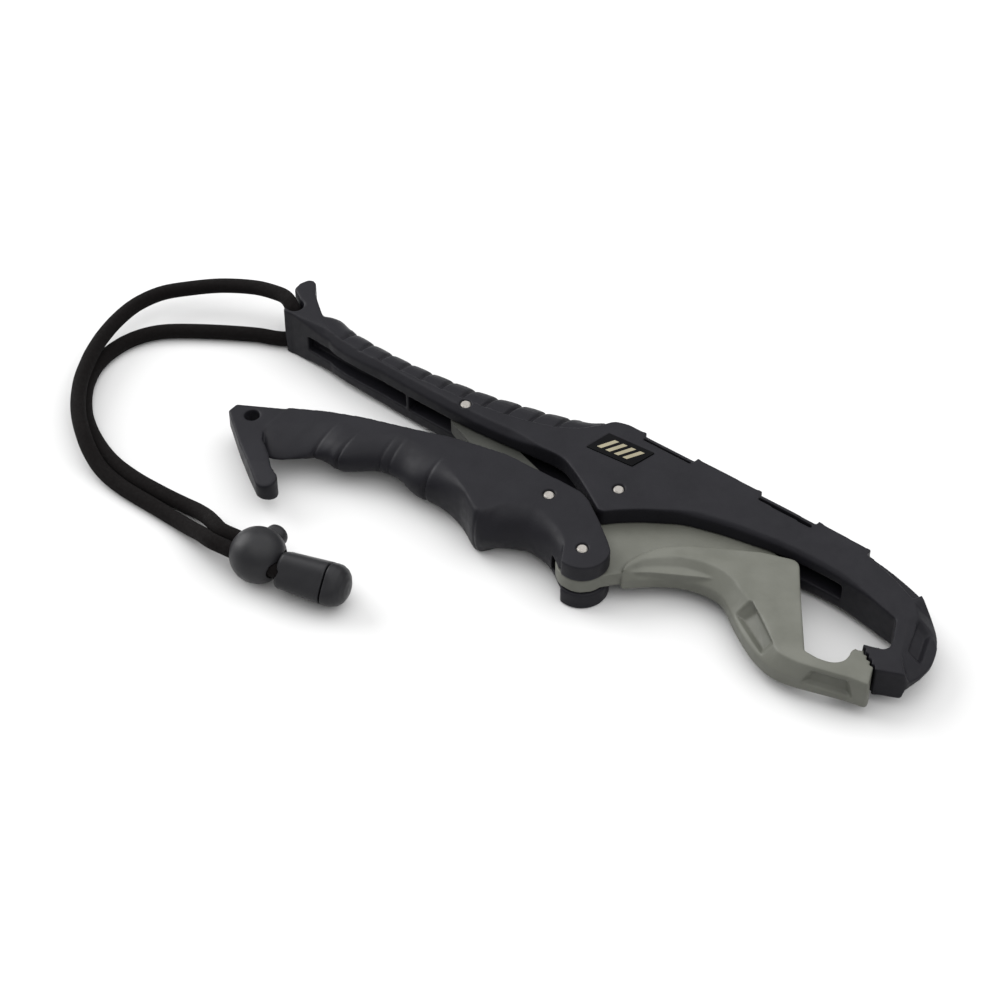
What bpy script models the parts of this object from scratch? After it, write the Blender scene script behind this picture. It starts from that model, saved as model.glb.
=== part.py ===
"""Locking lip grip for holding a fish by the jaw.

A channel-shaped frame carries a swinging jaw.  A grip handle is pinned to the jaw, and a short
toggle link ties the handle back to the frame, so squeezing the handle closes and locks the jaw.
A lanyard cord runs through the frame's tail, with a spring ball lock and a two-part end fitting.

The tool lies on its side.  Plan positions below are millimetres from the jaw pivot's axis, with
+X towards the jaws and +Y towards the frame's back.  Heights are from the surface it lies on.
"""
import math

import bmesh
import bpy
from mathutils import Matrix, Vector

MM = 0.001

# ---- driving dimensions, millimetres ----
DATUM_X = -16.05           # the plan centre of the tool's box, from the jaw pivot
DATUM_Y = -17.1
THICK = 17.5               # thickness at the hinges
MID = THICK / 2            # height of the plane the tool is symmetric about
TIP_HALF = 5.25            # half thickness at the jaw tips
TAIL_HALF = 3.5            # half thickness of the handle's hook
SLOT_HALF = 2.8            # half height of the channel and of the handle's fork
TONGUE_HALF = 2.45         # half thickness of the jaw's tongue and of the toggle link
GAP = 0.3                  # gap between neighbours
PIN_R = 1.6
PIN_FIT = 0.1              # running clearance round a pin
PIN_RECESS = 0.3           # pin ends below the cheeks' faces
CORD_R = 2.4

JAW_PIVOT = (0.0, 0.0)
HANDLE_PIVOT = (5.7, -26.0)
LINK_HANDLE_PIVOT = (-14.9, -14.3)
LINK_FRAME_PIVOT = (-58.5, 1.7)
LINK_EYE_ALONG = (-3.1, 0.0)     # how far the pin may move in the link's eye, along the link
LINK_EYE_ACROSS = (-0.5, 2.4)    # and across it

TAIL_HOLE = (-130.3, 5.0)
TAIL_HOLE_R = 2.9
HOOK_HOLE = (-110.8, -37.9)
HOOK_HOLE_R = 2.35

LOCK_CENTRE = (-72.2, -78.9)
LOCK_R = 8.5
LOCK_ANGLE = math.radians(6)     # direction of the cord through the lock, in plan
END_ANGLE = math.radians(15)     # direction of the end fitting
BUTTON_ANGLE = LOCK_ANGLE + math.radians(90)
BUTTON_R = 3.6
BUTTON_TRAVEL = 1.4
END_R = 6.5

RIBS = 11
RIB_FIRST = -107.8
RIB_PITCH = 7.72

TEETH = 4
TOOTH_DEPTH = 0.7


# ---- small geometry helpers ----
def place(x, y, z):
    """World position in metres of a point given in the tool's millimetres."""
    return Vector(((x - DATUM_X) * MM, (y - DATUM_Y) * MM, z * MM))


def smooth_run(points, steps=3):
    """Points along a Catmull-Rom curve through the given points."""
    out = []
    ends = [points[0]] + list(points) + [points[-1]]
    for a, b, c, d in zip(ends, ends[1:], ends[2:], ends[3:]):
        for k in range(steps):
            t = k / steps
            out.append(tuple(
                0.5 * (2 * q + (r - p) * t + (2 * p - 5 * q + 4 * r - s) * t * t
                       + (3 * q - p - 3 * r + s) * t ** 3)
                for p, q, r, s in zip(a, b, c, d)))
    out.append(tuple(points[-1]))
    return out


def rounded(before, corner, after, radius, steps=4):
    """Points of an arc that rounds one corner of an outline."""
    c = Vector(corner)
    u = (Vector(before) - c).normalized()
    v = (Vector(after) - c).normalized()
    half = u.angle(v) / 2
    reach = radius / math.tan(half)
    centre = c + (u + v).normalized() * radius / math.sin(half)
    start = c + u * reach - centre
    turn = start.angle_signed(c + v * reach - centre)
    return [tuple(centre + Matrix.Rotation(-turn * k / steps, 2) @ start) for k in range(steps + 1)]


def value_at(table, x):
    """Straight-line interpolation in a short table of (x, value)."""
    if x <= table[0][0]:
        return table[0][1]
    for (x0, v0), (x1, v1) in zip(table, table[1:]):
        if x <= x1:
            return v0 + (v1 - v0) * (x - x0) / (x1 - x0)
    return table[-1][1]


def tooth_line(start, end, offset):
    """A zigzag row of small teeth between two points, shifted sideways by offset."""
    a = Vector(start)
    b = Vector(end)
    side = Vector((-(b - a).y, (b - a).x)).normalized()
    points = []
    for k in range(2 * TEETH + 1):
        depth = TOOTH_DEPTH / 2 if k % 2 else -TOOTH_DEPTH / 2
        points.append(tuple(a.lerp(b, k / (2 * TEETH)) + side * (depth + offset)))
    return points


# ---- object helpers ----
def collection(name):
    made = bpy.data.collections.new(name)
    bpy.context.scene.collection.children.link(made)
    return made


def material(name, colour, roughness, metallic=0.0):
    mat = bpy.data.materials.new(name)
    mat.use_nodes = True
    shader = mat.node_tree.nodes["Principled BSDF"]
    shader.inputs["Base Color"].default_value = (*colour, 1.0)
    shader.inputs["Roughness"].default_value = roughness
    shader.inputs["Metallic"].default_value = metallic
    return mat


def mesh_object(name, bm):
    mesh = bpy.data.meshes.new(name)
    bmesh.ops.recalc_face_normals(bm, faces=bm.faces)
    bm.to_mesh(mesh)
    bm.free()
    obj = bpy.data.objects.new(name, mesh)
    PARTS.objects.link(obj)
    return obj


def curve_to_mesh(obj):
    """Turn a curve into a welded mesh in world space, and remove the curve."""
    bpy.context.view_layer.update()
    evaluated = obj.evaluated_get(bpy.context.evaluated_depsgraph_get())
    mesh = bpy.data.meshes.new_from_object(evaluated)
    bm = bmesh.new()
    bm.from_mesh(mesh)
    bmesh.ops.remove_doubles(bm, verts=bm.verts, dist=0.000002)
    bmesh.ops.recalc_face_normals(bm, faces=bm.faces)
    bm.to_mesh(mesh)
    bm.free()
    mesh.transform(obj.matrix_world)
    name = obj.name
    data = obj.data
    bpy.data.objects.remove(obj)
    bpy.data.curves.remove(data)
    made = bpy.data.objects.new(name, mesh)
    made.name = name
    PARTS.objects.link(made)
    return made


def flat_curve(name, points, half):
    curve = bpy.data.curves.new(name, "CURVE")
    curve.dimensions = "2D"
    curve.fill_mode = "BOTH"
    curve.extrude = half
    spline = curve.splines.new("POLY")
    spline.points.add(len(points) - 1)
    for point, co in zip(spline.points, points):
        point.co = (*co, 0, 1)
    spline.use_cyclic_u = True
    obj = bpy.data.objects.new(name, curve)
    PARTS.objects.link(obj)
    return obj


def plate(name, outline, low, high):
    """An outline in plan, extruded between two heights in millimetres."""
    points = [place(x, y, 0).xy for x, y in outline]
    obj = flat_curve(name, points, (high - low) / 2 * MM)
    obj.location.z = (high + low) / 2 * MM
    return curve_to_mesh(obj)


def side_block(name, halves, low_y, high_y):
    """A block whose half thickness about the middle plane follows a table of (x, half)."""
    top = [(place(x, 0, 0).x, half * MM) for x, half in halves]
    bottom = [(x, -z) for x, z in reversed(top)]
    obj = flat_curve(name, top + bottom, (high_y - low_y) / 2 * MM)
    obj.rotation_euler.x = math.radians(90)
    obj.location = (0, place(0, (high_y + low_y) / 2, 0).y, MID * MM)
    return curve_to_mesh(obj)


def cylinder(name, radius, centre, low, high, sides=24):
    x, y, _ = place(*centre, 0)
    bpy.ops.mesh.primitive_cylinder_add(
        vertices=sides, radius=radius * MM, depth=(high - low) * MM,
        location=(x, y, (high + low) / 2 * MM))
    obj = bpy.context.object
    obj.name = name
    move_to(obj, PARTS)
    return obj


def rod(name, radius, start, end, sides=24):
    """A straight round bar between two points given in the tool's millimetres."""
    a = place(*start)
    b = place(*end)
    bpy.ops.mesh.primitive_cylinder_add(
        vertices=sides, radius=radius * MM, depth=(b - a).length, location=(a + b) / 2,
        rotation=(b - a).to_track_quat("Z", "Y").to_euler())
    obj = bpy.context.object
    obj.name = name
    move_to(obj, PARTS)
    return obj


def box(name, low, high):
    a = place(*low)
    b = place(*high)
    bm = bmesh.new()
    bmesh.ops.create_cube(bm, size=1.0)
    bmesh.ops.scale(bm, vec=b - a, verts=bm.verts)
    bmesh.ops.translate(bm, vec=(a + b) / 2, verts=bm.verts)
    return mesh_object(name, bm)


def loft(name, rings):
    """A closed skin through a row of rings that have the same number of points."""
    bm = bmesh.new()
    rows = [[bm.verts.new(place(*co)) for co in ring] for ring in rings]
    for row, following in zip(rows, rows[1:]):
        for k in range(len(row)):
            n = (k + 1) % len(row)
            bm.faces.new((row[k], row[n], following[n], following[k]))
    bm.faces.new(rows[0])
    bm.faces.new(rows[-1])
    return mesh_object(name, bm)


def d_ring(x, flat_y, edge_y, bulge, half, steps=8):
    """A D-shaped section at one x: flat-sided from flat_y to edge_y, then an elliptic bulge."""
    ring = [(x, flat_y, MID + half), (x, flat_y, MID - half)]
    for k in range(steps + 1):
        angle = math.pi * (k / steps - 0.5)
        ring.append((x, edge_y + bulge * math.cos(angle), MID + half * math.sin(angle)))
    return ring


def move_to(obj, target):
    for owner in list(obj.users_collection):
        owner.objects.unlink(obj)
    target.objects.link(obj)


def apply_tool(obj, tool, operation):
    """Cut, join or intersect obj with a tool body, which becomes a hidden cutter."""
    mod = obj.modifiers.new(operation.title(), "BOOLEAN")
    mod.operation = operation
    mod.solver = "EXACT"
    mod.object = tool
    tool.hide_render = True
    tool.display_type = "WIRE"
    move_to(tool, CUTTERS)


def finish(obj, mat, origin, parent=None):
    """Give a part its material and put its origin on a stated point, in tool millimetres."""
    obj.data.materials.clear()
    obj.data.materials.append(mat)
    point = place(*origin)
    obj.data.transform(Matrix.Translation(point).inverted() @ obj.matrix_world)
    obj.matrix_world = Matrix.Translation(point)
    obj.parent = parent
    obj.data.shade_smooth()
    obj.data.set_sharp_from_angle(angle=math.radians(35))
    return obj


def turned(name, profile, start, direction, steps=24):
    """A profile of (radius, distance) turned about a horizontal axis in plan."""
    curve = bpy.data.meshes.new(name)
    bm = bmesh.new()
    verts = [bm.verts.new((r * MM, 0, d * MM)) for r, d in profile]
    for a, b in zip(verts, verts[1:]):
        bm.edges.new((a, b))
    bm.to_mesh(curve)
    bm.free()
    obj = bpy.data.objects.new(name, curve)
    PARTS.objects.link(obj)
    screw = obj.modifiers.new("Screw", "SCREW")
    screw.steps = steps
    screw.render_steps = steps
    screw.use_merge_vertices = True
    screw.merge_threshold = 0.000001
    axis = Vector((math.cos(direction), math.sin(direction), 0))
    obj.matrix_world = Matrix.Translation(place(*start)) @ axis.to_track_quat("Z", "Y").to_matrix().to_4x4()
    bpy.context.view_layer.update()
    baked = bpy.data.meshes.new_from_object(obj.evaluated_get(bpy.context.evaluated_depsgraph_get()))
    obj.modifiers.clear()
    obj.data = baked
    bm = bmesh.new()
    bm.from_mesh(baked)
    bmesh.ops.remove_doubles(bm, verts=bm.verts, dist=0.000002)
    bmesh.ops.recalc_face_normals(bm, faces=bm.faces)
    bm.to_mesh(baked)
    bm.free()
    return obj


# ---- the frame ----
FRAME_HALVES = [(-145, MID), (20, MID), (35, 8.5), (50, 8.0), (65, 7.4), (78, 6.7), (88, 5.9),
                (96, 5.4), (112, TIP_HALF)]
TOOTH_START = (88.2, -7.1)
TOOTH_END = (95.1, -12.0)


def frame_outline():
    grip_front = [(-128, 1.0), (-115, 0.2), (-100, -0.8), (-85, -1.6), (-70, -2.0), (-55, -2.0),
                  (-40, -1.0), (-28, 0.2), (-21, 0.4), (-15, -1.9), (-8, -5.7), (-1.6, -9.6)]
    boss = rounded((-8, -5.7), (1.0, -11.2), (10, -3.1), 2.0)
    arch = [(4.6, -7.6), (10, -3.1), (15, 0.3), (20, 3.4), (25, 5.3), (32, 7.3), (40, 9.0), (50, 10.6),
            (59, 11.3), (69, 11.2), (79, 9.9), (86, 8.4)]
    throat = rounded((86, 8.4), (90.4, 7.4), (94.0, -0.8), 1.5)
    hook = smooth_run([(93.6, 0.0), (94.0, -2.0), (93.0, -4.0), (90.6, -5.4), (88.0, -6.2)], 2)
    teeth = tooth_line(TOOTH_START, TOOTH_END, 0.35)
    tip = rounded((96.0, -11.3), (103.6, -8.2), (104.1, 0), 1.6)
    back = smooth_run([(104.0, -3.0), (103.7, 1.6), (102.6, 5.8), (100.9, 9.8), (98.4, 13.4),
                       (95.0, 16.6), (89.5, 19.7), (82.5, 22.7), (76.0, 24.4), (70.5, 25.2)], 2)
    grip_back = smooth_run([(-13.5, 24.4), (-17.8, 22.8), (-20.4, 18.6), (-24.5, 13.8), (-31, 9.8), (-40, 6.6),
                            (-50, 4.5), (-60, 3.1), (-70, 2.2), (-80, 1.5), (-90, 1.1), (-100, 1.1),
                            (-110, 1.9), (-116, 3.9), (-120.7, 7.2), (-125, 10.4), (-128.6, 13.2)], 2)
    horn = rounded((-128.6, 13.2), (-133.6, 19.4), (-136.2, 15.0), 2.2)
    tail = rounded((-135.3, 9.0), (-131.6, 0.6), (-128, 1.0), 1.5)
    return smooth_run(grip_front, 2) + boss + smooth_run(arch, 2) + throat + hook + teeth + tip \
        + back + grip_back + horn + [(-136.1, 14.0), (-135.4, 9.0)] + tail[:-1]


def grip_back_rings():
    """The palm side of the frame's grip: an elliptic bulge with a notch between its ribs."""
    edge = [(-118, 5.2), (-110, 1.9), (-100, 1.1), (-90, 1.1), (-80, 1.5), (-70, 2.2), (-60, 3.1),
            (-50, 4.5), (-40, 6.6), (-31, 9.8), (-24.5, 13.8), (-20.5, 18.0)]
    bulge = [(-118, 6.5), (-112, 8.8), (-85, 8.8), (-60, 9.9), (-45, 11.2), (-31, 10.6), (-24.5, 8.6),
             (-20.5, 6.6)]
    stations = [(-118.0, 1.0), (-113.0, 1.0)]
    for k in range(RIBS):
        notch = RIB_FIRST + k * RIB_PITCH
        stations += [(notch - 0.8, 0.99), (notch, 0.93), (notch + 0.8, 0.99), (notch + RIB_PITCH / 2, 1.03)]
    stations = stations[:-1] + [(-26.5, 1.0), (-23.5, 1.0), (-20.5, 1.0)]
    half = MID - 0.4
    return [d_ring(x, value_at(edge, x) - 2.5, value_at(edge, x), value_at(bulge, x) * swell, half * (0.5 + swell / 2))
            for x, swell in stations]


def wall_pocket(name, a, b, depth, low, high):
    """A tapered pocket sunk into a side wall that runs from a to b, material on its left."""
    start = Vector(a)
    end = Vector(b)
    along = (end - start).normalized()
    inward = Vector((-along.y, along.x))
    outline = [start - inward * 4, end - inward * 4, end + inward * 0.1, end - along * depth + inward * depth,
               start + along * depth + inward * depth, start + inward * 0.1]
    return plate(name, [tuple(p) for p in outline], MID + low, MID + high)


def build_frame(mat):
    frame = plate("frame", frame_outline(), 0, THICK)
    apply_tool(frame, side_block("frame_thickness", FRAME_HALVES, -40, 45), "INTERSECT")
    apply_tool(frame, loft("grip_ribs", grip_back_rings()), "UNION")
    low = MID - SLOT_HALF
    high = MID + SLOT_HALF
    tail_pocket = [(-121.5, -20), (-79.6, -20), (-79.6, 4.3), (-100, 3.2), (-121.5, 3.6)]
    channel = [(-78.4, -20), (70.5, -20), (70.5, 16.5), (60, 18.5), (-8, 18.5), (-20, 14.5),
               (-40, 9.6), (-60, 7.6), (-78.4, 5.0)]
    apply_tool(frame, plate("tail_pocket", tail_pocket, low, high), "DIFFERENCE")
    apply_tool(frame, plate("channel", channel, low, high), "DIFFERENCE")
    for k, (left, right) in enumerate([(-6.5, 11.5), (34.5, 54.0)]):
        for side, (a, b) in enumerate([(14.4, 20), (-3, THICK - 14.4)]):
            relief = [(left, 30), (left, 23.4), (left + 1.6, 21.4), (right - 1.6, 21.4), (right, 23.4), (right, 30)]
            apply_tool(frame, plate(f"back_relief_{k}_{side}", relief, a, b), "DIFFERENCE")
    apply_tool(frame, wall_pocket("nose_pocket", (103.9, -4.2), (102.0, 7.6), 2.2, -3.4, 3.4), "DIFFERENCE")
    for k, centre in enumerate([JAW_PIVOT, LINK_FRAME_PIVOT]):
        apply_tool(frame, cylinder(f"frame_pin_hole_{k}", PIN_R + PIN_FIT, centre, -5, 25), "DIFFERENCE")
    apply_tool(frame, cylinder("tail_hole", TAIL_HOLE_R, TAIL_HOLE, -5, 25), "DIFFERENCE")
    top_way = [(-130.3, 2.3), (-130.3, 7.8), (-133.0, 9.4), (-136.5, 11.4), (-146, 17), (-146, 2.2)]
    low_way = [(-130.3, 7.7), (-130.3, 2.0), (-133.0, 0.2), (-136.5, -1.9), (-146, -8), (-146, 8)]
    apply_tool(frame, plate("cord_notch_top", top_way, THICK - 5.6, 30), "DIFFERENCE")
    apply_tool(frame, plate("cord_notch_bottom", low_way, -10, 5.6), "DIFFERENCE")
    apply_tool(frame, plate("badge_seat", badge_outline(GAP), THICK - 0.6, 30), "DIFFERENCE")
    return finish(frame, mat, (*JAW_PIVOT, MID))


def badge_outline(grow):
    corners = [(-17.8, 8.6), (-2.4, 10.0), (-0.2, 18.6), (-15.8, 17.4)]
    centre = Vector((-9.05, 13.65))
    out = []
    for corner in corners:
        arm = Vector(corner) - centre
        out.append(tuple(centre + arm * (1 + grow * 1.5 / arm.length)))
    return out


def build_badge(mat):
    badge = plate("badge", badge_outline(0), THICK - GAP, THICK + 0.2)
    return finish(badge, mat, (-9.05, 13.65, THICK))


# ---- the jaw ----
JAW_HALVES = [(-20, 3.6), (17, 4.0), (28, 4.6), (42, TIP_HALF), (110, TIP_HALF)]


def jaw_body_outline():
    """The thick, outer part of the jaw."""
    inner = [(17.0, -20.8), (16.9, -18.2), (18.4, -13.4), (21.2, -8.7), (25.8, -4.4), (32.5, -0.2),
             (40, 3.6), (46, 7.0)]
    brow = rounded((46, 7.0), (56.4, 10.6), (63.4, 0.2), 3.0)
    leg = [(63.4, 0.2)]
    heel = rounded((63.4, 0.2), (76.0, -17.6), (81, -17.8), 1.2)
    palate = smooth_run([(80.4, -17.7), (84.0, -16.7), (86.1, -14.7), (86.8, -12.2), (86.3, -10.2)], 2)
    spike = [(86.7, -8.3), (87.5, -8.6)]
    teeth = tooth_line(TOOTH_START, TOOTH_END, -0.35)[1:]
    tip = rounded((95.6, -12.6), (97.4, -18.2), (92, -19.4), 1.2)
    outer = smooth_run([(91.0, -19.6), (84.0, -21.8), (77.0, -24.0), (71.0, -24.9), (66.5, -24.1),
                        (62.0, -22.4), (57.0, -19.6), (52.0, -16.3), (47.5, -12.9), (44.0, -10.8),
                        (40.0, -10.3), (35.0, -11.2), (30.0, -13.4), (25.0, -17.0), (21.5, -20.2)], 2)
    return smooth_run(inner, 2) + brow + leg + heel + palate + spike + teeth + tip + outer \
        + rounded((21.5, -20.2), (17.3, -24.2), (17.0, -20.8), 0.8)


def tongue_outline():
    """The thin tongue that runs in the frame's channel and the handle's fork."""
    eye = [(HANDLE_PIVOT[0] + 7.6 * math.cos(a), HANDLE_PIVOT[1] + 7.6 * math.sin(a))
           for a in [math.radians(d) for d in range(-190, -9, 20)]]
    root = [(18, -21.5), (24, -17.0), (36, -10.0), (48, -4.0), (54.0, 4.0), (53.0, 10.0)]
    top = [(46, 11.6), (35, 10.4), (22, 9.0), (10, 8.8)]
    boss = [(8.8 * math.cos(a), 8.8 * math.sin(a)) for a in [math.radians(d) for d in range(80, 181, 20)]]
    return eye + root + top + boss + [(-6.4, -12)]


def build_jaw(mat):
    jaw = plate("jaw", jaw_body_outline(), MID - 8, MID + 8)
    apply_tool(jaw, side_block("jaw_thickness", JAW_HALVES, -45, 40), "INTERSECT")
    tongue = plate("tongue", tongue_outline(), MID - TONGUE_HALF, MID + TONGUE_HALF)
    apply_tool(jaw, tongue, "UNION")
    apply_tool(jaw, wall_pocket("jaw_pocket_a", (50.5, -15.2), (67.0, -24.5), 2.6, -3.4, 4.2), "DIFFERENCE")
    apply_tool(jaw, wall_pocket("jaw_pocket_b", (78.0, -23.8), (92.0, -19.4), 2.4, -3.4, 4.2), "DIFFERENCE")
    for k, centre in enumerate([JAW_PIVOT, HANDLE_PIVOT]):
        apply_tool(jaw, cylinder(f"jaw_pin_hole_{k}", PIN_R + PIN_FIT, centre, -5, 25), "DIFFERENCE")
    return finish(jaw, mat, (*JAW_PIVOT, MID))


# ---- the handle ----
HANDLE_HALVES = [(-118, TAIL_HALF), (-105, TAIL_HALF), (-35, MID), (30, MID)]
HANDLE_BACK = [(-106, -29.6), (-93, -23.3), (-81.7, -19.2), (-66.5, -15.2), (-53, -11.4), (-45, -10.0),
               (-35, -8.5), (-25, -8.1), (-15, -7.7), (-8, -7.8), (-4, -9.3), (-1.5, -11.0)]
FINGER_SIDE = [(-104, -36.0), (-98.5, -38.5), (-94.5, -42.0), (-91.0, -43.6), (-87.2, -40.3), (-84.3, -36.9),
               (-81.8, -36.7), (-78.9, -37.6), (-75.2, -37.0), (-72.5, -33.4), (-67.9, -30.7), (-62.1, -29.9),
               (-57.0, -30.3), (-52.5, -31.9), (-49.3, -31.3), (-43.0, -28.7), (-36.0, -28.3), (-30.5, -30.6),
               (-25.5, -34.4), (-22.7, -34.9), (-18.7, -31.1), (-12.3, -28.2), (-6.3, -27.8), (-1.5, -29.0)]


def handle_rings():
    """The grip of the handle, with a groove in its rounded side for each finger."""
    side = smooth_run(FINGER_SIDE, 2)
    rings = []
    for x, low in side:
        back = value_at(HANDLE_BACK, x)
        edge = back + (low - back) * 0.42
        rings.append(d_ring(x, back, edge, low - edge, value_at(HANDLE_HALVES, x)))
    return rings


def fork_outline():
    nose = [(HANDLE_PIVOT[0] + 8.2 * math.cos(a), HANDLE_PIVOT[1] + 8.2 * math.sin(a))
            for a in [math.radians(d) for d in range(30, -121, -15)]]
    top = [(-14, -7.8), (-8, -7.9), (-4, -9.4), (-0.6, -11.6), (3.4, -14.3), (7.2, -17.2), (10.4, -19.6)]
    return smooth_run(top, 2) + nose + [(-3.0, -27.4), (-14, -25.0)]


def tail_outline():
    """The hook end of the handle, with its lanyard hole."""
    corner = rounded((-104, -28.6), (-120.8, -38.8), (-105.6, -49.6), 2.6)
    lobe = [(-89.6 + 3.0 * math.cos(a), -56.4 + 3.0 * math.sin(a))
            for a in [math.radians(d) for d in range(-130, 61, 19)]]
    return [(-98, -25.6)] + corner + [(-105.6, -49.6)] + lobe + [(-89.6, -51.5), (-92.0, -46.0), (-93.0, -36.0)]


def build_handle(mat):
    handle = loft("handle", handle_rings())
    apply_tool(handle, plate("fork", fork_outline(), 0.1, THICK - 0.1), "UNION")
    tail = plate("tail_plate", tail_outline(), 0, THICK)
    thinner = [(x, half - 0.2) for x, half in HANDLE_HALVES]
    apply_tool(tail, side_block("tail_thickness", thinner, -75, 0), "INTERSECT")
    apply_tool(handle, tail, "UNION")
    fork_slot = [(-47.5, 5), (-47.5, -13.0), (-42, -16.5), (-30, -20.5), (-22, -24.5), (-12, -23.2), (-4, -24.0), (-2.5, -27),
                 (-2.5, -45), (40, -45), (40, 5)]
    apply_tool(handle, plate("fork_slot", fork_slot, MID - SLOT_HALF, MID + SLOT_HALF), "DIFFERENCE")
    for k, centre in enumerate([HANDLE_PIVOT, LINK_HANDLE_PIVOT]):
        apply_tool(handle, cylinder(f"handle_pin_hole_{k}", PIN_R + PIN_FIT, centre, -5, 25), "DIFFERENCE")
    apply_tool(handle, cylinder("hook_hole", HOOK_HOLE_R, HOOK_HOLE, -5, 25), "DIFFERENCE")
    return finish(handle, mat, (*HANDLE_PIVOT, MID))


# ---- the toggle link ----
def build_link(mat):
    near = Vector(LINK_FRAME_PIVOT)
    far = Vector(LINK_HANDLE_PIVOT)
    along = (far - near).normalized()
    across = Vector((-along.y, along.x))
    inner, outer = LINK_EYE_ALONG
    low, high = LINK_EYE_ACROSS

    def at(u, v):
        return tuple(near + along * u + across * v)

    length = (far - near).length
    hole = PIN_R + PIN_FIT
    tail = [at(4.6 * math.cos(a), 4.6 * math.sin(a)) for a in [math.radians(d) for d in range(90, 271, 18)]]
    head = [at(length + (inner + outer) / 2 + 6.3 * math.cos(a), (low + high) / 2 + 6.3 * math.sin(a))
            for a in [math.radians(d) for d in range(-90, 91, 18)]]
    link = plate("toggle_link", tail + head, MID - TONGUE_HALF, MID + TONGUE_HALF)
    apply_tool(link, cylinder("link_hole", hole, LINK_FRAME_PIVOT, -5, 25), "DIFFERENCE")
    eye = []
    for u, v, start in [(length + outer, high, 0), (length + inner, high, 90), (length + inner, low, 180),
                        (length + outer, low, 270)]:
        eye += [at(u + hole * math.cos(a), v + hole * math.sin(a))
                for a in [math.radians(start + d) for d in range(0, 91, 30)]]
    apply_tool(link, plate("link_eye", eye, -5, 25), "DIFFERENCE")
    return finish(link, mat, (*LINK_FRAME_PIVOT, MID))


# ---- the pins ----
def build_pin(name, centre, mat):
    pin = cylinder(name, PIN_R, centre, PIN_RECESS, THICK - PIN_RECESS)
    return finish(pin, mat, (*centre, MID))


# ---- the lanyard ----
STRAND_OUT = 2.5           # each strand's distance from the middle of the pair
STRAND_Z = 8.55            # height of both strands in the lock and in the end fitting
END_FIRST = 9.2            # where the end fitting starts, from the lock's centre
END_Z = 7.2                # height of the fitting's axis


def along_lock(u, v, z=STRAND_Z):
    """A point u along the cord and v across it, from the lock's centre."""
    c = math.cos(LOCK_ANGLE)
    s = math.sin(LOCK_ANGLE)
    return (LOCK_CENTRE[0] + u * c - v * s, LOCK_CENTRE[1] + u * s + v * c, z)


def across_lock(distance):
    """A point on the button's axis, at a distance from the lock's centre."""
    return along_lock(0, distance)


def along_end(u, v, z=END_Z):
    """A point u along the end fitting's axis and v across it, from its front face."""
    x, y, _ = along_lock(END_FIRST, 0)
    c = math.cos(END_ANGLE)
    s = math.sin(END_ANGLE)
    return (x + u * c - v * s, y + u * s + v * c, z)


def cord_route():
    """Hand-chosen points of the looped cord, from one end in the fitting round to the other."""
    outer = [along_end(u, -STRAND_OUT, STRAND_Z) for u in (9.0, 5.5, 2.0)]
    outer += [along_lock(u, -STRAND_OUT) for u in (6, 0, -5, -10, -15)]
    outer += [(-92.4, -81.6, 6.9), (-98.5, -80.2, 4.5), (-105.5, -79.2, 3.0), (-114.5, -78.8, 2.5),
              (-127.5, -78.7, 2.5), (-137.0, -77.7, 3.4), (-144.5, -75.2, 5.4), (-150.6, -71.8, 7.2),
              (-156.6, -67.4, 7.6), (-162.2, -62.0, 7.6), (-167.4, -55.6, 7.6), (-171.0, -49.6, 7.6),
              (-174.2, -43.2, 7.6), (-177.0, -35.4, 7.6), (-178.9, -26.6, 7.6), (-179.3, -17.6, 7.5),
              (-176.8, -8.8, 7.5), (-170.8, -1.8, 8.0), (-161.9, 4.4, 9.6), (-150.5, 8.3, 12.0),
              (-141.0, 8.8, 14.0), (-136.5, 8.0, 14.8)]
    bight = [(-133.0, 6.2, 14.8), (-130.9, 5.2, 13.2), (-130.3, 5.0, 10.9), (-130.3, 5.0, 8.75),
             (-130.3, 5.0, 6.6), (-130.9, 4.7, 4.3), (-133.0, 3.4, 2.7)]
    inner = [(-136.5, 1.4, 2.5), (-142.3, -1.1, 2.5), (-152.1, -7.0, 2.5), (-161.3, -13.3, 2.5),
             (-167.4, -18.4, 2.5), (-171.2, -23.6, 2.5), (-173.4, -29.4, 2.5), (-174.1, -35.2, 2.5),
             (-173.6, -41.0, 2.5), (-172.0, -46.4, 2.5), (-168.6, -52.6, 2.5), (-163.8, -58.4, 2.5),
             (-157.2, -64.0, 2.5), (-147.6, -69.2, 2.5), (-138.0, -72.4, 2.5), (-127.5, -73.6, 2.5),
             (-117.0, -73.4, 2.5), (-109.0, -72.9, 2.6), (-102.6, -73.0, 3.6), (-97.0, -74.2, 5.3),
             (-91.8, -76.4, 7.4)]
    inner += [along_lock(u, STRAND_OUT) for u in (-15, -10, -5, 0, 6)]
    inner += [along_end(u, STRAND_OUT, STRAND_Z) for u in (2.0, 5.5, 9.0)]
    return outer + bight + inner


def build_cord(mat):
    dense = smooth_run(cord_route(), 8)
    kept = [dense[0]]
    run = 0.0
    for a, b in zip(dense, dense[1:]):
        run += (Vector(b) - Vector(a)).length
        in_tail = b[0] > -135.5 and b[1] > 0
        if run >= (2.2 if in_tail else 7.0):
            kept.append(b)
            run = 0.0
    kept[-1] = dense[-1]
    curve = bpy.data.curves.new("lanyard_cord", "CURVE")
    curve.dimensions = "3D"
    curve.bevel_depth = CORD_R * MM
    curve.bevel_resolution = 3
    curve.use_fill_caps = True
    spline = curve.splines.new("POLY")
    spline.points.add(len(kept) - 1)
    for point, co in zip(spline.points, kept):
        point.co = (*place(*co), 1)
    cord = bpy.data.objects.new("lanyard_cord", curve)
    PARTS.objects.link(cord)
    return finish(curve_to_mesh(cord), mat, (*TAIL_HOLE, MID))


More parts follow.
